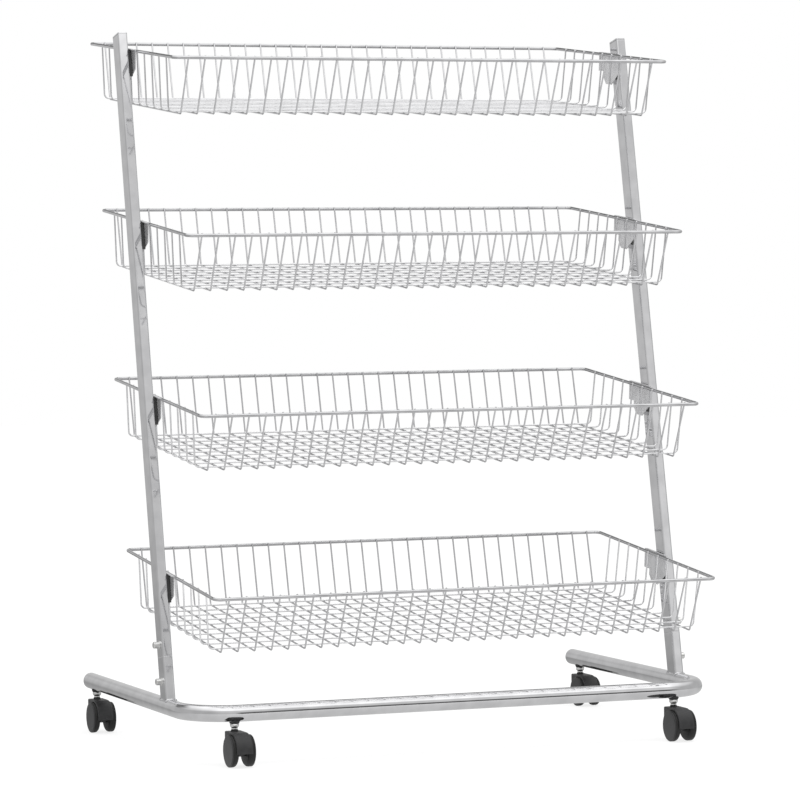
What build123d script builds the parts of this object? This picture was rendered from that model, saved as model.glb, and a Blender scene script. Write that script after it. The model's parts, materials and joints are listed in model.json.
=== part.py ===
"""Four-tier wire basket stand: a tube base on casters, two leaning posts and four lift-off baskets.

Millimetres and degrees. +X is the stand's right, +Y its back and +Z up, with the floor at Z = 0.
"""

import os
from math import asin, atan2, cos, hypot, radians, sin, sqrt, tan

from build123d import *

os.makedirs("parts", exist_ok=True)

# Clearances
weld_gap = 0.05
plug_clearance = 0.1
bolt_clearance = 0.2
running_clearance = 0.05
slide_clearance = 0.3

# Wire baskets, measured between wire axes
tier_count = 4
rim_width = 800.0
rim_depth = 440.0
rim_corner = 10.0
rim_wire = 5.0
basket_depth = 85.5
side_flare = 9.0
front_flare = 37.0
basket_wire = 2.5
wire_sides = 6
wire_tip = 1.5
wire_margin = 12.0
cross_wire_pitch = 26.0
long_wire_pitch = 37.0
long_wire_bend = 2.0
basket_tilt = 5.8
first_rim_rise = 195.0
tier_spacing = 264.0

# Hanger plates on the basket sides, from the rim axis
hanger_sheet = 1.4
hanger_front = 35.0
hanger_back = 45.0
hanger_top = 3.0
hanger_drop = 27.0
tongue_front = 6.0
tongue_back = 26.0
tongue_drop = 47.0
tongue_chamfer = 11.0
hook_width = 21.0
hook_drop = 13.0

# Receivers on the inner faces of the posts
receiver_wall = 1.2
receiver_width = 28.0
receiver_drop = 46.0
peg_diameter = 6.0
peg_rise = 9.0
peg_spacing = 24.0
peg_length = 4.0

# Posts
post_width = 15.0
post_depth = 30.0
post_wall = 1.5
post_corner = 2.5
post_lean = 11.5
post_above_rim = 25.0
post_cap_height = 3.0
post_cap_edge = 1.2
post_plug = 12.0
seam_height = 75.0

# Bolted connectors inside the posts, heights along the post from the base tube's axis
connector_wall = 1.5
connector_bottom = 20.0
connector_top = 118.0
lower_bolt_height = 38.0
upper_bolt_height = 93.0
bolt_diameter = 6.0
bolt_flange_diameter = 13.0
bolt_flange = 1.8
bolt_head_diameter = 10.0
bolt_head = 8.0
bolt_head_edge = 1.0
nut_flats = 10.0
nut_height = 5.0

# Base tube
base_diameter = 25.0
base_wall = 1.5
base_bend = 75.0
base_length = 532.0
post_setback = 124.0
end_cap_bulge = 5.0
end_cap_plug = 15.0

# Casters
front_caster_inset = 62.0
rear_caster_inset = 32.0
caster_turn = 0.0
caster_trail = 22.0
wheel_diameter = 47.0
wheel_width = 13.0
wheel_edge = 7.0
wheel_inner_edge = 5.0
wheel_rim = 8.5
wheel_dish = 0.8
wheel_gap = 0.4
web_width = 13.6
web_boss = 8.5
fender_gap = 1.0
fender_wall = 2.2
fender_end_angle = 5.0
hood_width = 25.0
hood_back = 10.0
hood_back_height = 34.0
hood_corner = 2.5
hood_boss = 2.0
hood_boss_diameter = 11.0
hood_edge = 1.8
axle_diameter = 6.0
axle_seat = 10.0
pivot_diameter = 8.0
pivot_depth = 23.0
neck_height = 1.5
cone_height = 8.0
cone_top_diameter = 13.0
collar_height = 2.0
collar_diameter = 16.0
collar_bottom_diameter = 14.0
spigot_diameter = 10.0

# Places that follow from the sizes above
wheel_radius = wheel_diameter / 2
fender_inner = wheel_radius + fender_gap
fender_outer = fender_inner + fender_wall
hood_top = wheel_radius + fender_outer
pivot_top = hood_top + hood_boss + neck_height
collar_bottom = pivot_top + cone_height
base_bottom = collar_bottom + collar_height
base_radius = base_diameter / 2
base_height = base_bottom + base_radius
floor_width = rim_width - 2 * side_flare
floor_depth = rim_depth - 2 * front_flare
hanger_inner_x = rim_width / 2 + rim_wire / 2 + weld_gap
hanger_outer_x = hanger_inner_x + hanger_sheet
slot_width = hanger_sheet + 2 * slide_clearance
receiver_x = hanger_outer_x + slide_clearance
slot_x = receiver_x + receiver_wall
hook_x = slot_x + slide_clearance
post_face_x = slot_x + slot_width + receiver_wall
post_x = post_face_x + post_width / 2
lean_slope = tan(radians(post_lean))
hang_slope = tan(radians(post_lean + basket_tilt))
receiver_top = hanger_top - hanger_sheet - slide_clearance
top_rim_rise = first_rim_rise + (tier_count - 1) * tier_spacing
rim_reach = rim_depth / 2 * cos(radians(basket_tilt)) + rim_wire / 2
front_reach = post_setback + lean_slope * first_rim_rise - rim_reach
rear_reach = max(base_length + end_cap_bulge, post_setback + lean_slope * top_rim_rise + rim_reach)
base_front = -(front_reach + rear_reach) / 2
base_rear = base_front + base_length
post_foot = base_front + post_setback
post_top = top_rim_rise / cos(radians(post_lean)) + post_above_rim
connector_width = post_width - 2 * post_wall - 2 * plug_clearance
connector_depth = post_depth - 2 * post_wall - 2 * plug_clearance
sides = {"left": -1, "right": 1}
post_up = Vector(0, sin(radians(post_lean)), cos(radians(post_lean)))
basket_back = Vector(0, cos(radians(basket_tilt)), sin(radians(basket_tilt)))
basket_up = Vector(0, -sin(radians(basket_tilt)), cos(radians(basket_tilt)))


def save(piece, name):
    piece.part.label = name
    export_step(piece.part, f"parts/{name}.step")


def post_plane(side, height):
    """Cross-section plane of a post, at a height along it from the base tube's axis."""
    foot = Vector(side * post_x, post_foot, base_height)
    return Plane(origin=foot + post_up * height, x_dir=(1, 0, 0), z_dir=post_up)


def bolt_plane(side, height, x_offset):
    """Plane square to a bolt, facing outwards, at an offset from the post's axis."""
    centre = Vector(side * (post_x + x_offset), post_foot, base_height) + post_up * height
    return Plane(origin=centre, x_dir=(0, 1, 0), z_dir=(side, 0, 0))


def rim_centre(tier):
    rise = first_rim_rise + tier * tier_spacing
    return Vector(0, post_foot + lean_slope * rise, base_height + rise)


def basket_plane(tier):
    """Plane of a basket's rim axis, with its X along the stand and its Y to the back."""
    return Plane(origin=rim_centre(tier), x_dir=(1, 0, 0), z_dir=basket_up)


def side_plane(tier, x):
    """Plane of a basket's side at X = x, seen with the basket's back and up as its axes."""
    return Plane(origin=rim_centre(tier) + Vector(x, 0, 0), x_dir=basket_back, z_dir=(1, 0, 0))


def leaning_strip(width, bottom, top):
    """Corners of a strip between two levels of a basket's side, with ends along the post."""
    half = width / 2 / cos(radians(post_lean + basket_tilt))
    return (
        (hang_slope * bottom - half, bottom),
        (hang_slope * bottom + half, bottom),
        (hang_slope * top + half, top),
        (hang_slope * top - half, top),
    )


def wall_end(half_rim, half_floor, depth):
    """Top of a wall wire that rises from the floor corner and lies on the inside of the rim wire."""
    seat = rim_wire / 2 + basket_wire / 2 + weld_gap
    outward = half_rim - half_floor
    reach = hypot(outward, depth)
    angle = atan2(outward, depth) - asin(seat / reach)
    length = sqrt(reach**2 - seat**2) + wire_tip
    return half_floor + length * sin(angle), -depth + length * cos(angle)


# Base tube: a U of round tube, open at the back, with a hole over each caster
front_caster_x = post_x - front_caster_inset
bend_offset = max(0.0, front_caster_x - (post_x - base_bend))
front_caster_y = base_front + base_bend - sqrt(base_bend**2 - bend_offset**2)
caster_places = {
    "front_left": (-front_caster_x, front_caster_y),
    "front_right": (front_caster_x, front_caster_y),
    "rear_left": (-post_x, base_rear - rear_caster_inset),
    "rear_right": (post_x, base_rear - rear_caster_inset),
}

with BuildLine(Plane.XY.offset(base_height)) as base_path:
    FilletPolyline(
        (-post_x, base_rear),
        (-post_x, base_front),
        (post_x, base_front),
        (post_x, base_rear),
        radius=base_bend,
    )
base_section = Plane(origin=base_path.line @ 0, z_dir=base_path.line % 0)

# Room that the base tube takes up, for what is fitted against it
with BuildPart() as base_room:
    with BuildSketch(base_section):
        Circle(base_radius + weld_gap)
    sweep(path=base_path.line)

with BuildPart() as base_tube:
    with BuildSketch(base_section):
        Circle(base_radius)
        Circle(base_radius - base_wall, mode=Mode.SUBTRACT)
    sweep(path=base_path.line)
    with BuildSketch(Plane.XY):
        with Locations(*caster_places.values()):
            Circle(spigot_diameter / 2 + plug_clearance)
    extrude(amount=base_height, mode=Mode.SUBTRACT)
save(base_tube, "base_tube")

# Domed plugs in the open ends of the base tube
for side_name, side in sides.items():
    with BuildPart() as base_cap:
        plug_radius = base_radius - base_wall - plug_clearance
        with BuildSketch(Plane(origin=(side * post_x, base_rear, base_height))):
            with BuildLine():
                Polyline(
                    (0, end_cap_bulge),
                    (0, -end_cap_plug),
                    (plug_radius, -end_cap_plug),
                    (plug_radius, 0),
                    (base_radius, 0),
                )
                TangentArc((0, end_cap_bulge), (base_radius, 0), tangent=(1, 0))
            make_face()
        revolve(axis=Axis((side * post_x, base_rear, base_height), (0, 1, 0)))
    save(base_cap, f"base_cap_{side_name}")

# Posts: stub on the base, connector, post, cap and bolts
for side_name, side in sides.items():
    with BuildPart() as post_stub:
        with BuildSketch(post_plane(side, 0)):
            RectangleRounded(post_width, post_depth, post_corner)
            Rectangle(post_width - 2 * post_wall, post_depth - 2 * post_wall, mode=Mode.SUBTRACT)
        extrude(amount=seam_height)
        add(base_room.part, mode=Mode.SUBTRACT)
        with BuildSketch(bolt_plane(side, lower_bolt_height, 0)):
            Circle(bolt_diameter / 2 + bolt_clearance)
        extrude(amount=post_width, mode=Mode.SUBTRACT)
    save(post_stub, f"post_stub_{side_name}")

    with BuildPart() as connector:
        with BuildSketch(post_plane(side, connector_bottom)):
            Rectangle(connector_width, connector_depth)
            Rectangle(
                connector_width - 2 * connector_wall,
                connector_depth - 2 * connector_wall,
                mode=Mode.SUBTRACT,
            )
        extrude(amount=connector_top - connector_bottom)
        for height in (lower_bolt_height, upper_bolt_height):
            with BuildSketch(bolt_plane(side, height, 0)):
                Circle(bolt_diameter / 2 + bolt_clearance)
            extrude(amount=post_width, mode=Mode.SUBTRACT)
    save(connector, f"post_connector_{side_name}")

    with BuildPart() as post:
        with BuildSketch(post_plane(side, seam_height)):
            RectangleRounded(post_width, post_depth, post_corner)
            Rectangle(post_width - 2 * post_wall, post_depth - 2 * post_wall, mode=Mode.SUBTRACT)
        extrude(amount=post_top - post_cap_height - seam_height)
        with BuildSketch(bolt_plane(side, upper_bolt_height, 0)):
            Circle(bolt_diameter / 2 + bolt_clearance)
        extrude(amount=post_width, mode=Mode.SUBTRACT)
        for tier in range(tier_count):
            with BuildSketch(side_plane(tier, side * post_face_x)):
                for drop in (peg_rise, peg_rise + peg_spacing):
                    with Locations((-hang_slope * drop, -drop)):
                        Circle(peg_diameter / 2 + plug_clearance)
            extrude(amount=side * post_width / 2, mode=Mode.SUBTRACT)
    save(post, f"post_{side_name}")

    with BuildPart() as post_cap:
        with BuildSketch(post_plane(side, post_top - post_cap_height)):
            RectangleRounded(post_width, post_depth, post_corner)
        extrude(amount=post_cap_height)
        cap_top = post_cap.faces().sort_by(Axis(post_plane(side, 0).origin, post_up))[-1]
        chamfer(cap_top.edges(), post_cap_edge)
        with BuildSketch(post_plane(side, post_top - post_cap_height)):
            Rectangle(connector_width, connector_depth)
        extrude(amount=-post_plug)
    save(post_cap, f"post_cap_{side_name}")

    with BuildPart() as post_bolts:
        for height in (lower_bolt_height, upper_bolt_height):
            shank = post_wall + plug_clearance + connector_wall + nut_height
            with BuildSketch(bolt_plane(side, height, post_width / 2 - shank)):
                Circle(bolt_diameter / 2)
            extrude(amount=shank)
            with BuildSketch(bolt_plane(side, height, post_width / 2)):
                Circle(bolt_flange_diameter / 2)
            extrude(amount=bolt_flange)
            with BuildSketch(bolt_plane(side, height, post_width / 2 + bolt_flange)):
                Circle(bolt_head_diameter / 2)
            extrude(amount=bolt_head)
        outer_faces = post_bolts.faces().sort_by(Axis.X)
        tops = outer_faces[:2] if side < 0 else outer_faces[-2:]
        chamfer(tops.edges(), bolt_head_edge)
    save(post_bolts, f"post_bolts_{side_name}")

    with BuildPart() as post_nuts:
        for height in (lower_bolt_height, upper_bolt_height):
            with BuildSketch(bolt_plane(side, height, connector_width / 2 - connector_wall)):
                RegularPolygon(nut_flats / 2, 6, major_radius=False)
                Circle(bolt_diameter / 2 + running_clearance, mode=Mode.SUBTRACT)
            extrude(amount=-nut_height)
    save(post_nuts, f"post_nuts_{side_name}")

    with BuildPart() as receivers:
        for tier in range(tier_count):
            with BuildSketch(side_plane(tier, side * receiver_x)):
                Polygon(*leaning_strip(receiver_width, -receiver_drop, receiver_top), align=None)
            extrude(amount=side * (post_face_x - receiver_x))
            with BuildSketch(side_plane(tier, side * slot_x)):
                slot_opening = receiver_width - 2 * receiver_wall
                Polygon(*leaning_strip(slot_opening, -receiver_drop, receiver_top), align=None)
            extrude(amount=side * slot_width, mode=Mode.SUBTRACT)
            with BuildSketch(side_plane(tier, side * post_face_x)):
                for drop in (peg_rise, peg_rise + peg_spacing):
                    with Locations((-hang_slope * drop, -drop)):
                        Circle(peg_diameter / 2)
            extrude(amount=side * peg_length)
    save(receivers, f"receivers_{side_name}")

# Basket wires around the rim's centre: U-shaped cross wires, and long wires that lie on them
cross_top, cross_end = wall_end(rim_depth / 2, floor_depth / 2, basket_depth)
with BuildPart() as cross_wire:
    with BuildLine(Plane.YZ) as cross_path:
        Polyline(
            (cross_top, cross_end),
            (floor_depth / 2, -basket_depth),
            (-floor_depth / 2, -basket_depth),
            (-cross_top, cross_end),
        )
    with BuildSketch(Plane(origin=cross_path.line @ 0, x_dir=(1, 0, 0), z_dir=cross_path.line % 0)):
        RegularPolygon(basket_wire / 2, wire_sides, major_radius=False)
    sweep(transition=Transition.RIGHT)

long_depth = basket_depth - basket_wire - weld_gap
long_top, long_end = wall_end(rim_width / 2, floor_width / 2, long_depth)
wall_lean = atan2(long_top - floor_width / 2, long_end + long_depth)
bend_out = floor_width / 2 + long_wire_bend * sin(wall_lean)
bend_up = -long_depth + long_wire_bend * cos(wall_lean)
with BuildPart() as long_wire:
    with BuildLine(Plane.XZ) as long_path:
        Polyline(
            (-long_top, long_end),
            (-bend_out, bend_up),
            (-floor_width / 2 + long_wire_bend, -long_depth),
            (floor_width / 2 - long_wire_bend, -long_depth),
            (bend_out, bend_up),
            (long_top, long_end),
        )
    with BuildSketch(Plane(origin=long_path.line @ 0, x_dir=(0, 1, 0), z_dir=long_path.line % 0)):
        RegularPolygon(basket_wire / 2, wire_sides, major_radius=False)
    sweep(transition=Transition.RIGHT)

cross_wire_count = int((floor_width - 2 * wire_margin) / cross_wire_pitch) + 1
long_wire_count = int((floor_depth - 2 * wire_margin) / long_wire_pitch) + 1

for tier in range(tier_count):
    basket = f"basket_{tier + 1}"

    with BuildPart() as rim:
        with BuildLine(basket_plane(tier)) as rim_path:
            FilletPolyline(
                (-rim_width / 2, -rim_depth / 2),
                (rim_width / 2, -rim_depth / 2),
                (rim_width / 2, rim_depth / 2),
                (-rim_width / 2, rim_depth / 2),
                radius=rim_corner,
                close=True,
            )
        with BuildSketch(Plane(origin=rim_path.line @ 0, z_dir=rim_path.line % 0)):
            Circle(rim_wire / 2)
        sweep()
    save(rim, f"{basket}_rim")

    with BuildPart(basket_plane(tier)) as cross_wires:
        with GridLocations(cross_wire_pitch, 1, cross_wire_count, 1):
            add(cross_wire.part)
    save(cross_wires, f"{basket}_cross_wires")

    with BuildPart(basket_plane(tier)) as long_wires:
        with GridLocations(1, long_wire_pitch, 1, long_wire_count):
            add(long_wire.part)
    save(long_wires, f"{basket}_long_wires")

    for side_name, side in sides.items():
        with BuildPart() as hanger:
            with BuildSketch(side_plane(tier, side * hanger_inner_x)):
                with BuildLine():
                    Polyline(
                        (-hanger_front, hanger_top),
                        (-hanger_front, -hanger_drop),
                        (-tongue_front, -tongue_drop),
                        (tongue_back - tongue_chamfer, -tongue_drop),
                        (tongue_back, -tongue_drop + tongue_chamfer),
                        (tongue_back, -hanger_drop),
                        (hanger_back, -hanger_drop),
                        (hanger_back, hanger_top),
                        close=True,
                    )
                make_face()
            extrude(amount=side * hanger_sheet)
            with BuildSketch(side_plane(tier, side * hanger_inner_x)):
                with BuildLine():
                    Polyline(
                        (-hanger_front, hanger_top - hanger_sheet),
                        (hanger_back, hanger_top - hanger_sheet),
                        (hanger_back, hanger_top),
                        (-hanger_front, hanger_top),
                        close=True,
                    )
                make_face()
            extrude(amount=side * (hook_x + hanger_sheet - hanger_inner_x))
            with BuildSketch(side_plane(tier, side * hook_x)):
                Polygon(*leaning_strip(hook_width, -hook_drop, hanger_top), align=None)
            extrude(amount=side * hanger_sheet)
        save(hanger, f"{basket}_hanger_{side_name}")

# Casters: stems and collars stay with the base, the hoods turn on the stems, the wheels on the axles
spigot_radius = spigot_diameter / 2
collar_radius = collar_diameter / 2
saddle_top = base_height - sqrt(base_radius**2 - collar_radius**2)

with BuildPart() as caster_collars:
    for x, y in caster_places.values():
        with BuildSketch(Plane(origin=(x, y, 0), x_dir=(1, 0, 0), z_dir=(0, -1, 0))):
            with BuildLine():
                Polyline(
                    (spigot_radius + plug_clearance, collar_bottom),
                    (collar_bottom_diameter / 2, collar_bottom),
                    (collar_radius, base_bottom),
                    (collar_radius, saddle_top),
                    (spigot_radius + plug_clearance, saddle_top),
                    close=True,
                )
            make_face()
        revolve(axis=Axis((x, y, 0), (0, 0, 1)))
    add(base_room.part, mode=Mode.SUBTRACT)
save(caster_collars, "caster_collars")

pivot_radius = pivot_diameter / 2
pivot_bottom = hood_top + hood_boss - pivot_depth

with BuildPart() as caster_stems:
    for x, y in caster_places.values():
        with BuildSketch(Plane(origin=(x, y, 0), x_dir=(1, 0, 0), z_dir=(0, -1, 0))):
            with BuildLine():
                Polyline(
                    (0, pivot_bottom),
                    (pivot_radius, pivot_bottom),
                    (pivot_radius, pivot_top),
                    (cone_top_diameter / 2, collar_bottom),
                    (spigot_radius, collar_bottom),
                    (spigot_radius, base_height),
                    (0, base_height),
                    close=True,
                )
            make_face()
        revolve(axis=Axis((x, y, 0), (0, 0, 1)))
save(caster_stems, "caster_stems")

axle_place = (-caster_trail, wheel_radius)
wheel_inner = web_width / 2 + wheel_gap

with BuildPart() as hood_form:
    with BuildSketch(Plane.YZ):
        with BuildLine():
            fender_arc = CenterArc(axle_place, fender_outer, 90, 90 + fender_end_angle)
            Polyline(
                fender_arc @ 1,
                (hood_back, hood_back_height),
                (hood_back, hood_top),
                fender_arc @ 0,
            )
        make_face()
        with Locations(axle_place):
            Circle(web_boss)
    extrude(amount=hood_width / 2, both=True)
    with BuildSketch(Plane.XY):
        hood_length = hood_back + caster_trail + fender_outer + hood_corner
        with Locations((0, hood_back)):
            RectangleRounded(hood_width, hood_length, hood_corner, align=(Align.CENTER, Align.MAX))
    extrude(amount=hood_top, mode=Mode.INTERSECT)
    top_edges = hood_form.faces().sort_by(Axis.Z)[-1].edges().sort_by(Axis.Y)[1:]
    hood_sides = hood_form.faces().filter_by(Axis.X)
    crown_edges = hood_sides.edges().filter_by(GeomType.CIRCLE).sort_by(SortBy.RADIUS)[-2:]
    fillet([*top_edges, *crown_edges], hood_edge)
    for side in sides.values():
        with BuildSketch(Plane.YZ.offset(side * web_width / 2)):
            with Locations(axle_place):
                Circle(fender_inner)
        extrude(amount=side * hood_width, mode=Mode.SUBTRACT)
    with BuildSketch(Plane.XY.offset(hood_top - hood_edge)):
        Circle(hood_boss_diameter / 2)
    extrude(amount=hood_edge + hood_boss)
    with BuildSketch(Plane.XY.offset(hood_top + hood_boss)):
        Circle(pivot_radius + running_clearance)
    extrude(amount=-(pivot_depth + slide_clearance), mode=Mode.SUBTRACT)
    with BuildSketch(Plane.YZ):
        with Locations(axle_place):
            Circle(axle_diameter / 2 + running_clearance)
    extrude(amount=hood_width, both=True, mode=Mode.SUBTRACT)

with BuildPart() as axle_form:
    with BuildSketch(Plane.YZ):
        with Locations(axle_place):
            Circle(axle_diameter / 2)
    extrude(amount=wheel_inner + axle_seat, both=True)

with BuildPart() as wheel_form:
    wheel_outer = wheel_inner + wheel_width
    bore_radius = axle_diameter / 2 + running_clearance
    bore_end = wheel_inner + axle_seat + slide_clearance
    wheel_section = Plane(origin=(0, -caster_trail, wheel_radius), x_dir=(1, 0, 0), z_dir=(0, -1, 0))
    with BuildSketch(wheel_section) as wheel_profile:
        with BuildLine():
            Polyline(
                (wheel_inner, bore_radius),
                (wheel_inner, wheel_radius),
                (wheel_outer, wheel_radius),
                (wheel_outer, wheel_radius - wheel_rim),
                (wheel_outer - wheel_dish, wheel_radius - wheel_rim - wheel_dish),
                (wheel_outer - wheel_dish, 0),
                (bore_end, 0),
                (bore_end, bore_radius),
                close=True,
            )
        make_face()
        fillet(wheel_profile.vertices().group_by(Axis.Y)[-1].sort_by(Axis.X)[0], wheel_inner_edge)
        fillet(wheel_profile.vertices().group_by(Axis.Y)[-1].sort_by(Axis.X)[-1], wheel_edge)
    revolve(axis=Axis((0, -caster_trail, wheel_radius), (1, 0, 0)))

for place_name, (x, y) in caster_places.items():
    swivel = Location((x, y, 0), (0, 0, caster_turn))

    with BuildPart() as hood:
        with Locations(swivel):
            add(hood_form.part)
    save(hood, f"{place_name}_hood")

    with BuildPart() as axle:
        with Locations(swivel):
            add(axle_form.part)
    save(axle, f"{place_name}_axle")

    with BuildPart() as wheel_right:
        with Locations(swivel):
            add(wheel_form.part)
    save(wheel_right, f"{place_name}_wheel_right")

    with BuildPart() as wheel_left:
        with Locations(swivel):
            add(mirror(wheel_form.part, about=Plane.YZ, mode=Mode.PRIVATE))
    save(wheel_left, f"{place_name}_wheel_left")
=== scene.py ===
"""Looks of the four-tier wire basket stand: chromed wire and tube, folded hooks, black twin-wheel casters.

Metres, in the frame of the solids: +X is the stand's right, +Y its back, +Z up, with the floor at Z = 0.
"""

import json
from math import asin, atan2, cos, hypot, pi, radians, sin, sqrt, tan

import bmesh
import bpy
from mathutils import Matrix, Vector


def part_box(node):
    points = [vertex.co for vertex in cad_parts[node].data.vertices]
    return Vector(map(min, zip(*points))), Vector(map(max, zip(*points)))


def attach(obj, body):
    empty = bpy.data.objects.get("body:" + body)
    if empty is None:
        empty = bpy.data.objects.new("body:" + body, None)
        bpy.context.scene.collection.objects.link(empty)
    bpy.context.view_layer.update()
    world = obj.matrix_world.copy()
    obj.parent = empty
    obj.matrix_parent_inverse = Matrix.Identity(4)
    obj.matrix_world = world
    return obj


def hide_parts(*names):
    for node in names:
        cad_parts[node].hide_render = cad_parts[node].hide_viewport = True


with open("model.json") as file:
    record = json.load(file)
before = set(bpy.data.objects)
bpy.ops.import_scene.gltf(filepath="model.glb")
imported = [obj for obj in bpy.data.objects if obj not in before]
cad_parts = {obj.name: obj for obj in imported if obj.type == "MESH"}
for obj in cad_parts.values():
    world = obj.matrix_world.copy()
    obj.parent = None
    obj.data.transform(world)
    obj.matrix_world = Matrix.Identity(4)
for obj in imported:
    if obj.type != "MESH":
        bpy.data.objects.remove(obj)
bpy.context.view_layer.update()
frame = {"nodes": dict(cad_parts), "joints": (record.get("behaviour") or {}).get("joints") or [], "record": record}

# Unit, and names of what repeats
mm = 0.001
tiers = range(1, 5)
sides = {"left": -1, "right": 1}
places = ("front_left", "front_right", "rear_left", "rear_right")

# Baskets
rim_wire = 5 * mm
rim_corner = 10 * mm
basket_wire = 2.5 * mm
basket_depth = 85.5 * mm
side_flare = 9 * mm
front_flare = 37 * mm
wire_margin = 12 * mm
wire_tip = 1.5 * mm
tip_angles = (radians(35), radians(65))
tip_bulge = 0.5
cross_pitch = 26 * mm
cross_bend = 4 * mm
long_pitch = 37 * mm
long_bend = 7.5 * mm
weld_gap = 0.05 * mm
weld_size = 1.2 * mm
rim_weld_rise = 1.92 * mm

# Base tube and posts
tube_bend = 75 * mm
tube_wall = 1.5 * mm
post_depth = 30 * mm
post_corner = 2.5 * mm
post_wall = 1.5 * mm
hollow_corner = 1.25 * mm
post_weld = 2.2 * mm
post_weld_change = 0.2
post_weld_turn = 2.4
cut_edge = 0.4 * mm

# Eased edges of the fittings, the drops below the rim between which receivers end, and their trim
hanger_edge = 0.35 * mm
receiver_edge = 0.25 * mm
cap_edge = 0.5 * mm
bolt_edge = 0.3 * mm
hood_edge = 0.6 * mm
receiver_ends = (40 * mm, 60 * mm)
receiver_trim = 8 * mm

# Casters
pivot_radius = 4 * mm
neck_radius = 4.6 * mm
groove_radius = 4.3 * mm
stem_radius = 6.7 * mm
spigot_radius = 5 * mm
collar_ease = 0.2 * mm
wheel_bore = 3 * mm
tyre_round = 5 * mm
cover_inset = 2 * mm
cover_round = 1.7 * mm

# Shoulder of a caster's stem, as pairs of rise above the hood and radius
stem_shoulder = (
    (0.3 * mm, neck_radius),
    (2.2 * mm, neck_radius),
    (2.8 * mm, groove_radius),
    (3.8 * mm, 5.5 * mm),
    (5 * mm, 6.5 * mm),
    (6 * mm, stem_radius),
)

# Fineness of the round forms
wire_sides = 12
rim_sides = 20
tube_sides = 64
disc_sides = 96
room_sides = 64
room_rows = 32
bend_steps = 8
tube_bend_steps = 32
corner_steps = 6
edge_steps = 3
hold = 1 * mm

# Limits for a solid's joined points, flat seams and sharp edges, and the weight of its large faces
joined_points = 0.005 * mm
flat_seam = radians(0.2)
sharp_edge = radians(40)
face_weight = 100

# Grain of the finishes in features per metre, and the ranges of its noise that they use
plating_cloud = 40
plating_speck = 900
plastic_cloud = 120
plastic_grain = 2500
gloss_range = (0.3, 0.7)
tint_range = (0.35, 0.65)

# Sockets of a mix node for its share, its two colours and its result
mix_share = 0
mix_first = 6
mix_second = 7
mix_result = 2

# Camera of the photograph: where it stands and how it is turned, for a square picture
camera_place = Vector((-2.1517, -5.6401, 0.7340))
camera_azimuth = radians(-20.917)
camera_down = radians(2.022)
camera_roll = radians(-0.604)
camera_lens = 175.03
camera_sensor = 36.0

# Floor and light
floor_radius = 12
floor_grey = 0.22
floor_glow = 0.8
ceiling_width = 3.0
ceiling_depth = 2.0
ceiling_power = 60
ceiling_place = (0.3, -0.8, 3.4)

# Floor that the chrome mirrors, a glowing disc of painted light, darker towards the back as painted shade of the
# stand, as pairs of depth (0 front, 1 back) and brightness
mirrored_radius = 1.3
mirrored_lift = 0.1 * mm
mirrored_floor_painted_light = ((0.0, 1.1), (0.25, 0.9), (0.4, 0.76), (0.6, 0.48), (0.75, 0.4), (1.0, 0.5))

# Room that the chrome mirrors, as pairs of height (0 lowest, 1 highest) and brightness
room_radius = 4
room_front_left = ((0.42, 0.95), (0.48, 0.65), (0.68, 0.75), (0.8, 0.85), (0.835, 1.5))
room_front = (
    (0.455, 0.95), (0.475, 0.08), (0.5, 0.08), (0.57, 0.14), (0.61, 0.35),
    (0.645, 0.68), (0.7, 0.76), (0.754, 0.86), (0.807, 0.8), (0.835, 1.5),
)
room_front_right = (
    (0.455, 0.95), (0.475, 0.08), (0.5, 0.08), (0.57, 0.14), (0.6, 0.5),
    (0.635, 0.96), (0.7, 0.9), (0.754, 0.86), (0.807, 0.8), (0.835, 1.5),
)
room_back_left = (
    (0.43, 0.08), (0.465, 0.4), (0.48, 0.44), (0.52, 0.58), (0.7, 0.63),
    (0.725, 0.25), (0.82, 0.25), (0.88, 1.2), (0.95, 1.5),
)
room_back_right = (
    (0.43, 0.08), (0.465, 0.56), (0.48, 0.6), (0.52, 0.66), (0.73, 0.71),
    (0.75, 0.25), (0.84, 0.25), (0.88, 1.2), (0.95, 1.5),
)
room_beside = ((0.4, 0.6), (0.72, 0.6), (0.86, 1.1))

# Where one side of the room gives way to the next, as pairs of place across or in depth and share
room_to_front = ((0.44, 0), (0.54, 1))
room_to_front_right = ((0.63, 0), (0.7, 1))
room_to_back_right = ((0.3, 0), (0.34, 1), (0.37, 1), (0.41, 0), (0.44, 0), (0.5, 1))
room_to_back = ((0.3, 0), (0.7, 1))
room_to_beside = ((0.12, 1), (0.26, 0), (0.74, 0), (0.88, 1))

# Directions
x_axis = Vector((1, 0, 0))
y_axis = Vector((0, 1, 0))
z_axis = Vector((0, 0, 1))

# Places that follow from the frame
tube_low, tube_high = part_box("base_tube")
tube_radius = (tube_high.z - tube_low.z) / 2
tube_height = (tube_high.z + tube_low.z) / 2
arm_x = tube_high.x - tube_radius
arm_front = tube_low.y + tube_radius
arm_rear = tube_high.y
lift_axis = next(joint["axis"] for joint in frame["joints"] if joint["name"] == "basket_1_lift")
post_up = Vector(lift_axis).normalized()
post_back = Vector((0, post_up.z, -post_up.y))
post_low, post_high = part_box("post_right")
post_width = post_high.x - post_low.x
post_middle = (post_low + post_high) / 2
post_length = (post_high.z - post_low.z - post_depth * post_up.y) / post_up.z
rim_low, rim_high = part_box("basket_1_rim")
rim_width = rim_high.x - rim_low.x - rim_wire
rim_rise = rim_high.z - rim_low.z - rim_wire
rim_run = rim_high.y - rim_low.y - rim_wire
rim_depth = hypot(rim_rise, rim_run)
basket_tilt = atan2(rim_rise, rim_run)
floor_width = rim_width - 2 * side_flare
floor_depth = rim_depth - 2 * front_flare
long_drop = basket_depth - basket_wire - weld_gap


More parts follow.
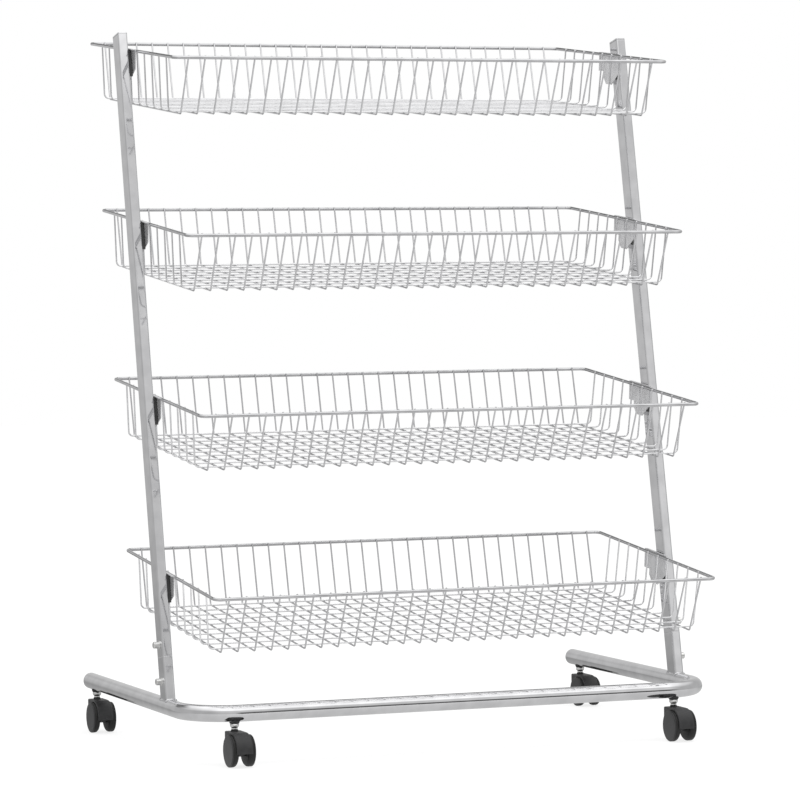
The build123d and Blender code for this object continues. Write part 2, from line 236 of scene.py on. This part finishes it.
class Shape:
    """Points and faces of one mesh, gathered form by form."""

    def __init__(self):
        self.points = []
        self.faces = []

    def skin(self, rings, closed=False):
        """Quads between neighbouring rings. Open rows of rings get flat ends."""
        start = len(self.points)
        count = len(rings)
        around = len(rings[0])
        for ring in rings:
            self.points.extend(tuple(point) for point in ring)
        for row in range(count if closed else count - 1):
            here = start + row * around
            there = start + (row + 1) % count * around
            for side in range(around):
                beside = (side + 1) % around
                self.faces.append((here + side, here + beside, there + beside, there + side))
        if not closed:
            self.faces.append(tuple(range(start + around - 1, start - 1, -1)))
            self.faces.append(tuple(range(start + (count - 1) * around, start + count * around)))

    def turned(self, centre, axis, across, profile, around):
        """A form turned about an axis, from pairs of height along it and radius."""
        beside = axis.cross(across)
        rings = []
        for height, radius in profile:
            rings.append(circle_ring(centre + axis * height, across, beside, radius, around))
        self.skin(rings)

    def blob(self, centre, width, depth, height):
        """A small pebble with the given half axes."""
        pebble = bmesh.new()
        bmesh.ops.create_icosphere(pebble, subdivisions=1, radius=1)
        start = len(self.points)
        for vertex in pebble.verts:
            x, y, z = vertex.co
            self.points.append(tuple(centre + Vector((x * width, y * depth, z * height))))
        for face in pebble.faces:
            self.faces.append(tuple(start + vertex.index for vertex in face.verts))
        pebble.free()

    def mesh(self, name):
        mesh = bpy.data.meshes.new(name)
        mesh.from_pydata(self.points, [], self.faces)
        shape = bmesh.new()
        shape.from_mesh(mesh)
        bmesh.ops.recalc_face_normals(shape, faces=shape.faces)
        shape.to_mesh(mesh)
        shape.free()
        mesh.shade_smooth()
        return mesh


def arc_corner(before, corner, after, radius, steps):
    """Points of the arc that rounds a corner, with a point on the straight run at each end of it."""
    towards = (before - corner).normalized()
    onwards = (after - corner).normalized()
    half_angle = towards.angle(onwards) / 2
    centre = corner + (towards + onwards).normalized() * (radius / sin(half_angle))
    start = corner + towards * (radius / tan(half_angle)) - centre
    turn = pi - 2 * half_angle
    angles = [turn * step / steps for step in range(steps + 1)]
    arc = [centre + start * cos(angle) - towards * (radius * sin(angle)) for angle in angles]
    return [arc[0] + towards * hold, *arc, arc[-1] + onwards * hold]


def held_ends(path):
    """The path with a second point close to each end, which keeps the shading of a long run straight."""
    first = path[0] + (path[1] - path[0]).normalized() * hold
    last = path[-1] + (path[-2] - path[-1]).normalized() * hold
    return [path[0], first, *path[1:-1], last, path[-1]]


def rounded_path(corners, radius, steps, closed=False):
    """A path of straight runs through the corners, with an arc at each turn."""
    corners = [Vector(corner) for corner in corners]
    count = len(corners)
    path = []
    for index, corner in enumerate(corners):
        if not closed and index in (0, count - 1):
            path.append(corner)
        else:
            path += arc_corner(corners[index - 1], corner, corners[(index + 1) % count], radius, steps)
    return path


def circle_ring(centre, across, outward, radius, around):
    angles = [2 * pi * step / around for step in range(around)]
    return [centre + across * (radius * cos(angle)) + outward * (radius * sin(angle)) for angle in angles]


def tube_rings(path, across, radius, around, closed=False):
    """Circles along a flat path, where across is square to the path's plane."""
    count = len(path)
    rings = []
    for index, point in enumerate(path):
        behind = path[index - 1] if closed or index else point
        ahead = path[(index + 1) % count] if closed or index < count - 1 else point
        outward = (ahead - behind).cross(across).normalized()
        rings.append(circle_ring(point, across, outward, radius, around))
    return rings


def wire_rings(path, across):
    """Circles along a cut basket wire, drawn in at both ends."""
    radius = basket_wire / 2
    path = held_ends(path)
    rings = tube_rings(path, across, radius, wire_sides)
    tips = []
    for end, inner in ((path[0], path[1]), (path[-1], path[-2])):
        outwards = (end - inner).normalized()
        beside = outwards.cross(across)
        tip = []
        for angle in tip_angles:
            centre = end + outwards * (tip_bulge * radius * sin(angle))
            tip.append(circle_ring(centre, across, beside, radius * cos(angle), wire_sides))
        tips.append(tip)
    first = [list(ring[:1]) + list(reversed(ring[1:])) for ring in tips[0]]
    return list(reversed(first)) + rings + tips[1]


def rounded_rectangle(width, depth, radius):
    """Outline points of a rectangle with round corners, and a point on the flat beside each corner."""
    outline = []
    for index, (x, y) in enumerate(((1, 1), (-1, 1), (-1, -1), (1, -1))):
        centre_x = x * (width / 2 - radius)
        centre_y = y * (depth / 2 - radius)
        start = index * pi / 2
        before = Vector((sin(start), -cos(start))) * cut_edge
        after = Vector((-cos(start), -sin(start))) * cut_edge
        corner = []
        for step in range(corner_steps + 1):
            angle = start + pi / 2 * step / corner_steps
            corner.append(Vector((centre_x + radius * cos(angle), centre_y + radius * sin(angle))))
        outline += [corner[0] + before, *corner, corner[-1] + after]
    return outline


def new_material(name):
    material = bpy.data.materials.new(name)
    material.use_nodes = True
    nodes = material.node_tree.nodes
    return material, nodes, material.node_tree.links, nodes["Principled BSDF"]


def noise(nodes, links, scale, detail):
    """Noise in the object's own coordinates, in features per metre."""
    place = nodes.new("ShaderNodeTexCoord")
    texture = nodes.new("ShaderNodeTexNoise")
    texture.inputs["Scale"].default_value = scale
    texture.inputs["Detail"].default_value = detail
    links.new(place.outputs["Object"], texture.inputs["Vector"])
    return texture.outputs["Fac"]


def spread(nodes, links, value, ends):
    """Maps noise from its usual middle range to the range between two ends."""
    stretch = nodes.new("ShaderNodeMapRange")
    stretch.inputs["From Min"].default_value = gloss_range[0]
    stretch.inputs["From Max"].default_value = gloss_range[1]
    stretch.inputs["To Min"].default_value = ends[0]
    stretch.inputs["To Max"].default_value = ends[1]
    links.new(value, stretch.inputs["Value"])
    return stretch.outputs["Result"]


def tint(nodes, links, value, ends):
    """A grey or colour that drifts between two ends with noise."""
    ramp = nodes.new("ShaderNodeValToRGB")
    for element, position, colour in zip(ramp.color_ramp.elements, tint_range, ends):
        element.position = position
        element.color = (*colour, 1)
    links.new(value, ramp.inputs["Fac"])
    return ramp.outputs["Color"]


def uneven(nodes, links, shader, height, strength, depth):
    """Raises and lowers the surface by a height pattern of the given depth."""
    bump = nodes.new("ShaderNodeBump")
    bump.inputs["Strength"].default_value = strength
    bump.inputs["Distance"].default_value = depth
    links.new(height, bump.inputs["Height"])
    links.new(bump.outputs["Normal"], shader.inputs["Normal"])


def plated_metal(name, tints, roughness, ripple, ripple_scale, metallic=1):
    """Plated steel: a tint that drifts, uneven gloss with fine specks, and a faint ripple of the sheet."""
    material, nodes, links, shader = new_material(name)
    shader.inputs["Metallic"].default_value = metallic
    cloud = noise(nodes, links, plating_cloud, detail=3)
    links.new(tint(nodes, links, cloud, tints), shader.inputs["Base Color"])
    speck = noise(nodes, links, plating_speck, detail=2)
    links.new(spread(nodes, links, speck, roughness), shader.inputs["Roughness"])
    wave = noise(nodes, links, ripple_scale, detail=1)
    uneven(nodes, links, shader, wave, strength=1, depth=ripple)
    return material


def moulded_plastic(name, tints, roughness, grain):
    """Moulded plastic or dull paint: near black, with a fine grain and scuffs that dull the gloss."""
    material, nodes, links, shader = new_material(name)
    shader.inputs["Specular IOR Level"].default_value = 0.4
    cloud = noise(nodes, links, plastic_cloud, detail=4)
    links.new(tint(nodes, links, cloud, tints), shader.inputs["Base Color"])
    links.new(spread(nodes, links, cloud, roughness), shader.inputs["Roughness"])
    fine = noise(nodes, links, plastic_grain, detail=2)
    uneven(nodes, links, shader, fine, strength=0.6, depth=grain)
    return material


def wire_chrome(name, tints):
    """Chrome of the basket wire, in a lighter or darker tint; these tints are painted light and painted shade on
    one and the same plating.
    """
    return plated_metal(name, tints, roughness=(0.05, 0.1), ripple=0.02 * mm, ripple_scale=300)


# One plating in three tints: the long wires' lighter copy is painted light and the rim's darker copy is painted
# shade, for how the light falls on them.
chrome_wire = wire_chrome("chrome_wire", ((0.55, 0.55, 0.56), (0.65, 0.65, 0.66)))
chrome_long_painted_light = wire_chrome("chrome_long_painted_light", ((0.74, 0.74, 0.75), (0.84, 0.84, 0.85)))
chrome_rim_painted_shade = wire_chrome("chrome_rim_painted_shade", ((0.50, 0.50, 0.51), (0.60, 0.60, 0.61)))
materials = {
    "chrome_wire": chrome_wire,
    "chrome_tube": plated_metal(
        "chrome_tube",
        tints=((0.60, 0.60, 0.61), (0.68, 0.68, 0.69)),
        roughness=(0.05, 0.08),
        ripple=0.006 * mm,
        ripple_scale=22,
    ),
    "hanger_steel": plated_metal(
        "hanger_steel",
        tints=((0.58, 0.58, 0.59), (0.68, 0.68, 0.69)),
        roughness=(0.08, 0.14),
        ripple=0.02 * mm,
        ripple_scale=90,
        metallic=0.6,
    ),
    "bolt_steel": plated_metal(
        "bolt_steel",
        tints=((0.66, 0.66, 0.65), (0.74, 0.74, 0.73)),
        roughness=(0.16, 0.24),
        ripple=0.02 * mm,
        ripple_scale=300,
    ),
    "black_steel": moulded_plastic(
        "black_steel",
        tints=((0.03, 0.03, 0.03), (0.04, 0.04, 0.04)),
        roughness=(0.4, 0.5),
        grain=0.02 * mm,
    ),
    "caster_plastic": moulded_plastic(
        "caster_plastic",
        tints=((0.020, 0.020, 0.021), (0.027, 0.027, 0.028)),
        roughness=(0.4, 0.5),
        grain=0.03 * mm,
    ),
    # Tyres: black plastic, made darker still as painted shade of the deep shadow under the fender.
    "wheel_plastic": moulded_plastic(
        "wheel_plastic",
        tints=((0.006, 0.006, 0.006), (0.009, 0.009, 0.009)),
        roughness=(0.5, 0.6),
        grain=0.03 * mm,
    ),
}


def show(name, mesh, body, slot, replaced=(), place=None, material=None):
    """Puts a mesh into the scene as a piece that rides on a body, in the finish of its slot or another."""
    piece = bpy.data.objects.new(name, mesh)
    bpy.context.scene.collection.objects.link(piece)
    piece.matrix_world = place or Matrix.Identity(4)
    if not mesh.materials:
        mesh.materials.append(material or materials[slot])
    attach(piece, body)
    if replaced:
        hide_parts(*replaced)
    return piece


def finish_solids():
    """Gives every solid the finish of its slot."""
    for subpart in frame["record"]["subparts"]:
        node = frame["nodes"][subpart["node"]]
        node.data.materials.clear()
        node.data.materials.append(materials[subpart["material_slot"]])


def wire_places(width, pitch):
    count = int((width - 2 * wire_margin) / pitch) + 1
    return [(index - (count - 1) / 2) * pitch for index in range(count)]


cross_places = wire_places(floor_width, cross_pitch)
long_places = wire_places(floor_depth, long_pitch)


def wall_end(half_rim, half_floor, depth):
    """Top of a wall wire that rises from the floor corner and lies on the inside of the rim wire."""
    seat = rim_wire / 2 + basket_wire / 2 + weld_gap
    outward = half_rim - half_floor
    reach = hypot(outward, depth)
    angle = atan2(outward, depth) - asin(seat / reach)
    length = sqrt(reach**2 - seat**2) + wire_tip
    return half_floor + length * sin(angle), -depth + length * cos(angle)


def rim_mesh():
    shape = Shape()
    corners = [(x * rim_width / 2, y * rim_depth / 2, 0) for x, y in ((-1, -1), (1, -1), (1, 1), (-1, 1))]
    path = rounded_path(corners, rim_corner, bend_steps, closed=True)
    shape.skin(tube_rings(path, z_axis, rim_wire / 2, rim_sides, closed=True), closed=True)
    return shape.mesh("rim")


def cross_mesh():
    """Wires bent to a U from the front rim to the back rim."""
    shape = Shape()
    top, end = wall_end(rim_depth / 2, floor_depth / 2, basket_depth)
    for x in cross_places:
        corners = (
            (x, -top, end),
            (x, -floor_depth / 2, -basket_depth),
            (x, floor_depth / 2, -basket_depth),
            (x, top, end),
        )
        shape.skin(wire_rings(rounded_path(corners, cross_bend, bend_steps), x_axis))
    return shape.mesh("cross_rods")


def long_mesh():
    """Wires bent to a U from side to side, lying on the cross wires."""
    shape = Shape()
    top, end = wall_end(rim_width / 2, floor_width / 2, long_drop)
    for y in long_places:
        corners = (
            (-top, y, end),
            (-floor_width / 2, y, -long_drop),
            (floor_width / 2, y, -long_drop),
            (top, y, end),
        )
        shape.skin(wire_rings(rounded_path(corners, long_bend, bend_steps), y_axis))
    return shape.mesh("long_rods")


def weld_mesh():
    """Small welds where the wires cross on the basket's floor and where they meet the rim."""
    shape = Shape()
    floor_weld = (basket_depth + long_drop) / 2
    rim_front = rim_depth / 2 - rim_wire / 2
    rim_side = rim_width / 2 - rim_wire / 2
    for x in cross_places:
        for y in long_places:
            shape.blob(Vector((x, y, -floor_weld)), weld_size, weld_size, weld_size)
    for x in cross_places:
        for side in sides.values():
            shape.blob(Vector((x, side * rim_front, 0)), weld_size, weld_size, rim_weld_rise)
    for y in long_places:
        for side in sides.values():
            shape.blob(Vector((side * rim_side, y, 0)), weld_size, weld_size, rim_weld_rise)
    return shape.mesh("welds")


def make_baskets():
    rim = rim_mesh()
    cross_rods = cross_mesh()
    long_rods = long_mesh()
    welds = weld_mesh()
    tilt = Matrix.Rotation(basket_tilt, 4, "X")
    for mesh in (rim, cross_rods, long_rods, welds):
        mesh.transform(tilt)
    for tier in tiers:
        basket = f"basket_{tier}"
        low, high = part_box(f"{basket}_rim")
        place = Matrix.Translation((low + high) / 2)
        # Long wires take the lighter chrome (painted light), the rim the darker chrome (painted shade).
        for mesh, name, node, material in (
            (rim, "rim_tube", "rim", chrome_rim_painted_shade),
            (cross_rods, "cross_rods", "cross_wires", chrome_wire),
            (long_rods, "long_rods", "long_wires", chrome_long_painted_light),
        ):
            replaced = (f"{basket}_{node}",)
            show(f"{basket}_{name}", mesh, basket, "chrome_wire", replaced, place, material)
        show(f"{basket}_welds", welds, basket, "chrome_wire", (), place)


def make_base():
    """Base tube, bent from one length, with its wall open to the end plugs."""
    corners = (
        (-arm_x, arm_rear, tube_height),
        (-arm_x, arm_front, tube_height),
        (arm_x, arm_front, tube_height),
        (arm_x, arm_rear, tube_height),
    )
    path = held_ends(rounded_path(corners, tube_bend, tube_bend_steps))
    outer = tube_rings(path, z_axis, tube_radius, tube_sides)
    inner = tube_rings(path, z_axis, tube_radius - tube_wall, tube_sides)
    shape = Shape()
    shape.skin(outer + list(reversed(inner)), closed=True)
    show("base_tube_bent", shape.mesh("base_tube_bent"), "frame", "chrome_tube", ("base_tube",))


def post_section(centre, width, depth, corner):
    outline = rounded_rectangle(width, depth, corner)
    return [centre + Vector((point.x, 0, 0)) + post_back * point.y for point in outline]


def onto_tube(points, side):
    """Slides points along the post to the surface of the base tube's arm."""
    slid = []
    for point in points:
        across = point.x - side * arm_x
        height = tube_height + sqrt(tube_radius**2 - across**2)
        slid.append(point + post_up * ((height - point.z) / post_up.z))
    return slid


def weld_rings(foot):
    """Circles of an uneven weld bead around the foot of a post."""
    rings = []
    for index, point in enumerate(foot):
        along = foot[(index + 1) % len(foot)] - foot[index - 1]
        beside = along.cross(post_up).normalized()
        size = post_weld * (1 + post_weld_change * sin(index * post_weld_turn))
        rings.append(circle_ring(point, beside, post_up, size, wire_sides))
    return rings


def make_posts():
    """Posts, the stubs that they stand on, and the welds of the stubs to the base tube."""
    outer = (post_width, post_depth, post_corner)
    eased = (post_width - 2 * cut_edge, post_depth - 2 * cut_edge, post_corner - cut_edge)
    hollow = (post_width - 2 * post_wall, post_depth - 2 * post_wall, hollow_corner)
    for side_name, side in sides.items():
        middle = Vector((side * post_middle.x, post_middle.y, post_middle.z))
        bottom = middle - post_up * (post_length / 2)
        top = middle + post_up * (post_length / 2)
        foot = onto_tube(post_section(bottom, *outer), side)

        post = Shape()
        post.skin([
            post_section(bottom, *hollow),
            post_section(bottom, *eased),
            post_section(bottom + post_up * cut_edge, *outer),
            post_section(bottom + post_up * hold, *outer),
            post_section(top - post_up * hold, *outer),
            post_section(top - post_up * cut_edge, *outer),
            post_section(top, *eased),
            post_section(top, *hollow),
        ], closed=True)
        name = f"post_{side_name}_tube"
        show(name, post.mesh(name), "frame", "chrome_tube", (f"post_{side_name}",))

        stub = Shape()
        stub.skin([
            onto_tube(post_section(bottom, *hollow), side),
            foot,
            [point + post_up * hold for point in foot],
            post_section(bottom - post_up * hold, *outer),
            post_section(bottom - post_up * cut_edge, *outer),
            post_section(bottom, *eased),
            post_section(bottom, *hollow),
        ], closed=True)
        name = f"post_stub_{side_name}_tube"
        show(name, stub.mesh(name), "frame", "chrome_tube", (f"post_stub_{side_name}",))

        weld = Shape()
        weld.skin(weld_rings(foot), closed=True)
        name = f"post_weld_{side_name}"
        show(name, weld.mesh(name), "frame", "chrome_tube")


def softened(node_name, piece_name, edge, body, slot):
    """A piece with a solid's form and its edges eased."""
    shape = bmesh.new()
    shape.from_mesh(frame["nodes"][node_name].data)
    bmesh.ops.remove_doubles(shape, verts=shape.verts, dist=joined_points)
    bmesh.ops.dissolve_limit(shape, angle_limit=flat_seam, verts=shape.verts, edges=shape.edges)
    sharp = [one for one in shape.edges if one.is_manifold and one.calc_face_angle() > sharp_edge]
    bmesh.ops.bevel(
        shape,
        geom=sharp,
        offset=edge,
        segments=edge_steps,
        profile=0.5,
        affect="EDGES",
        clamp_overlap=True,
    )
    mesh = bpy.data.meshes.new(piece_name)
    shape.to_mesh(mesh)
    shape.free()
    mesh.shade_smooth()
    piece = show(piece_name, mesh, body, slot, (node_name,))
    normals = piece.modifiers.new("face normals", "WEIGHTED_NORMAL")
    normals.weight = face_weight
    return piece


def shorten_receivers(channels):
    """Moves the lower ends of the receivers up along the post."""
    for tier in tiers:
        low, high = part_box(f"basket_{tier}_rim")
        rim_height = (low.z + high.z) / 2
        for vertex in channels.data.vertices:
            if receiver_ends[0] < rim_height - vertex.co.z < receiver_ends[1]:
                vertex.co += post_up * receiver_trim


def make_fittings():
    for tier in tiers:
        for side_name in sides:
            node = f"basket_{tier}_hanger_{side_name}"
            softened(node, f"{node}_plate", hanger_edge, f"basket_{tier}", "hanger_steel")
    for side_name in sides:
        node = f"receivers_{side_name}"
        shorten_receivers(softened(node, f"{node}_channel", receiver_edge, "frame", "black_steel"))
        node = f"post_cap_{side_name}"
        softened(node, f"{node}_top", cap_edge, "frame", "chrome_tube")
        node = f"post_bolts_{side_name}"
        softened(node, f"{node}_heads", bolt_edge, "frame", "bolt_steel")
    for place in places:
        node = f"{place}_hood"
        softened(node, f"{node}_shell", hood_edge, f"{place}_caster", "caster_plastic")


def make_stems():
    """Turned stems of the casters: pivot, neck, shoulder and the spigot in the tube."""
    low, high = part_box("caster_stems")
    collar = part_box("caster_collars")[0].z
    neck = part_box("front_left_hood")[1].z
    profile = [
        (low.z, pivot_radius),
        (neck, pivot_radius),
        *((neck + rise, radius) for rise, radius in stem_shoulder),
        (collar - collar_ease, stem_radius),
        (collar, spigot_radius),
        (high.z, spigot_radius),
    ]
    shape = Shape()
    for joint in frame["joints"]:
        if joint["name"].endswith("_swivel"):
            x, y = joint["pos_m"][:2]
            shape.turned(Vector((x, y, 0)), z_axis, x_axis, profile, rim_sides)
    mesh = shape.mesh("caster_stems_turned")
    show("caster_stems_turned", mesh, "frame", "bolt_steel", ("caster_stems",))


def round_edge(face, inward, radius, size):
    """Pairs of height and radius round a wheel's edge, from its side face to its rolling face."""
    pairs = []
    for step in range(bend_steps + 1):
        angle = pi / 2 * (1 - step / bend_steps)
        pairs.append((face + inward * size * (1 - sin(angle)), radius - size * (1 - cos(angle))))
    return pairs


def make_wheels():
    """Turned wheels: a dark tyre, round towards the web, and a flat cover on the outer side. The tyre's near black
    is its own colour, deepened as painted shade under the fender.
    """
    for joint in frame["joints"]:
        place, turn, side = joint["name"].rpartition("_roll_")
        if not turn:
            continue
        node = f"{place}_wheel_{side}"
        low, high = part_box(node)
        out = x_axis * sides[side]
        centre = (low + high) / 2
        radius = (high.z - low.z) / 2
        inner = -(high.x - low.x) / 2
        face = -inner - cover_inset
        seam = face - cover_round
        tyre_edge = round_edge(inner, 1, radius, tyre_round)
        cover_edge = list(reversed(round_edge(face, -1, radius, cover_round)))
        tyre_profile = [(inner, wheel_bore), *tyre_edge, (seam, radius), (seam, wheel_bore)]
        cover_profile = [(seam, wheel_bore), *cover_edge, (face, radius / 2), (face, wheel_bore)]
        tyre = Shape()
        tyre.turned(centre, out, z_axis, tyre_profile, tube_sides)
        name = f"{node}_tyre"
        show(name, tyre.mesh(name), joint["child"], "wheel_plastic", (node,))
        cover = Shape()
        cover.turned(centre, out, z_axis, cover_profile, tube_sides)
        name = f"{node}_cover"
        show(name, cover.mesh(name), joint["child"], "caster_plastic")


def emission(name):
    """A material that only glows, with its nodes, its links and the socket of its colour."""
    material = bpy.data.materials.new(name)
    material.use_nodes = True
    nodes = material.node_tree.nodes
    nodes.clear()
    output = nodes.new("ShaderNodeOutputMaterial")
    light = nodes.new("ShaderNodeEmission")
    light.inputs["Strength"].default_value = 1
    material.node_tree.links.new(light.outputs["Emission"], output.inputs["Surface"])
    material.cycles.emission_sampling = "NONE"
    return material, nodes, material.node_tree.links, light.inputs["Color"]


def shades(nodes, links, place, stops):
    """A grey that follows a ramp of stops along one coordinate."""
    ramp = nodes.new("ShaderNodeValToRGB")
    elements = ramp.color_ramp.elements
    while len(elements) < len(stops):
        elements.new(0.5)
    for element, (position, grey) in zip(elements, stops):
        element.position = position
        element.color = (grey, grey, grey, 1)
    links.new(place, ramp.inputs["Fac"])
    return ramp.outputs["Color"]


def mixed(nodes, links, share, first, second):
    """A colour that goes from the first to the second as the share grows."""
    mix = nodes.new("ShaderNodeMix")
    mix.data_type = "RGBA"
    links.new(share, mix.inputs[mix_share])
    links.new(first, mix.inputs[mix_first])
    links.new(second, mix.inputs[mix_second])
    return mix.outputs[mix_result]


def stage_axes(nodes, links):
    """Coordinates from 0 to 1 along the three sides of a stage object's box."""
    place = nodes.new("ShaderNodeTexCoord")
    axes = nodes.new("ShaderNodeSeparateXYZ")
    links.new(place.outputs["Generated"], axes.inputs["Vector"])
    return axes.outputs["X"], axes.outputs["Y"], axes.outputs["Z"]


def stage_object(name, shape, material):
    """Puts a form into the scene as a piece of the stage."""
    mesh = bpy.data.meshes.new(name)
    shape.to_mesh(mesh)
    shape.free()
    mesh.materials.append(material)
    piece = bpy.data.objects.new(name, mesh)
    bpy.context.scene.collection.objects.link(piece)
    return piece


def stage_disc(name, radius, material):
    shape = bmesh.new()
    bmesh.ops.create_circle(shape, cap_ends=True, segments=disc_sides, radius=radius)
    return stage_object(name, shape, material)


def make_floor():
    """A white floor, and the greyer floor that the chrome mirrors: a glowing disc of painted light, darker towards
    the back as painted shade of the stand.
    """
    material, *_, shader = new_material("floor")
    shader.inputs["Base Color"].default_value = (floor_grey, floor_grey, floor_grey, 1)
    shader.inputs["Emission Color"].default_value = (1, 1, 1, 1)
    shader.inputs["Emission Strength"].default_value = floor_glow
    shader.inputs["Roughness"].default_value = 0.9
    shader.inputs["Specular IOR Level"].default_value = 0
    floor = stage_disc("floor", floor_radius, material)
    floor.visible_glossy = False
    # The glow of this disc is painted light and painted shade of the floor, seen only in the chrome.
    material, nodes, links, colour = emission("painted_floor_in_mirror")
    _, depth, _ = stage_axes(nodes, links)
    links.new(shades(nodes, links, depth, mirrored_floor_painted_light), colour)
    mirrored = stage_disc("painted_floor_in_mirror", mirrored_radius, material)
    mirrored.location.z = mirrored_lift
    mirrored.visible_camera = False
    mirrored.visible_shadow = False
    mirrored.visible_diffuse = False


def make_room():
    """What the chrome mirrors: a grey room, dark low in front and at both sides, with a bright ceiling."""
    material, nodes, links, colour = emission("room")
    across, depth, height = stage_axes(nodes, links)
    front_left = shades(nodes, links, height, room_front_left)
    front_middle = shades(nodes, links, height, room_front)
    front_right = shades(nodes, links, height, room_front_right)
    back_left = shades(nodes, links, height, room_back_left)
    back_right = shades(nodes, links, height, room_back_right)
    beside = shades(nodes, links, height, room_beside)
    front = mixed(nodes, links, shades(nodes, links, across, room_to_front), front_left, front_middle)
    front = mixed(nodes, links, shades(nodes, links, across, room_to_front_right), front, front_right)
    back = mixed(nodes, links, shades(nodes, links, across, room_to_back_right), back_left, back_right)
    around = mixed(nodes, links, shades(nodes, links, depth, room_to_back), front, back)
    links.new(mixed(nodes, links, shades(nodes, links, across, room_to_beside), around, beside), colour)
    shape = bmesh.new()
    bmesh.ops.create_uvsphere(shape, u_segments=room_sides, v_segments=room_rows, radius=room_radius)
    room = stage_object("room", shape, material)
    room.data.shade_smooth()
    room.visible_camera = False
    room.visible_diffuse = False
    room.visible_shadow = False
    room.visible_transmission = False


def make_light():
    """A white sky and a soft lamp overhead, neither of which shows in the chrome."""
    world = bpy.data.worlds.new("white")
    world.use_nodes = True
    sky = world.node_tree.nodes["Background"]
    sky.inputs["Color"].default_value = (1, 1, 1, 1)
    sky.inputs["Strength"].default_value = 1
    world.cycles_visibility.glossy = False
    bpy.context.scene.world = world
    lamp = bpy.data.lights.new("ceiling", "AREA")
    lamp.shape = "RECTANGLE"
    lamp.size = ceiling_width
    lamp.size_y = ceiling_depth
    lamp.energy = ceiling_power
    ceiling = bpy.data.objects.new("ceiling", lamp)
    ceiling.location = ceiling_place
    ceiling.visible_glossy = False
    bpy.context.scene.collection.objects.link(ceiling)
    bpy.context.scene.view_settings.view_transform = "Standard"


def make_camera():
    forward = Vector((
        -sin(camera_azimuth) * cos(camera_down),
        cos(camera_azimuth) * cos(camera_down),
        -sin(camera_down),
    ))
    level = Vector((cos(camera_azimuth), sin(camera_azimuth), 0))
    upright = level.cross(forward)
    right = level * cos(camera_roll) + upright * sin(camera_roll)
    up = upright * cos(camera_roll) - level * sin(camera_roll)
    turn = Matrix((right, up, -forward)).transposed().to_4x4()
    lens = bpy.data.cameras.new("camera")
    lens.lens = camera_lens
    lens.sensor_width = camera_sensor
    camera = bpy.data.objects.new("camera", lens)
    camera.matrix_world = Matrix.Translation(camera_place) @ turn
    bpy.context.scene.collection.objects.link(camera)
    bpy.context.scene.camera = camera


finish_solids()
make_baskets()
make_base()
make_posts()
make_fittings()
make_stems()
make_wheels()
make_floor()
make_room()
make_light()
make_camera()
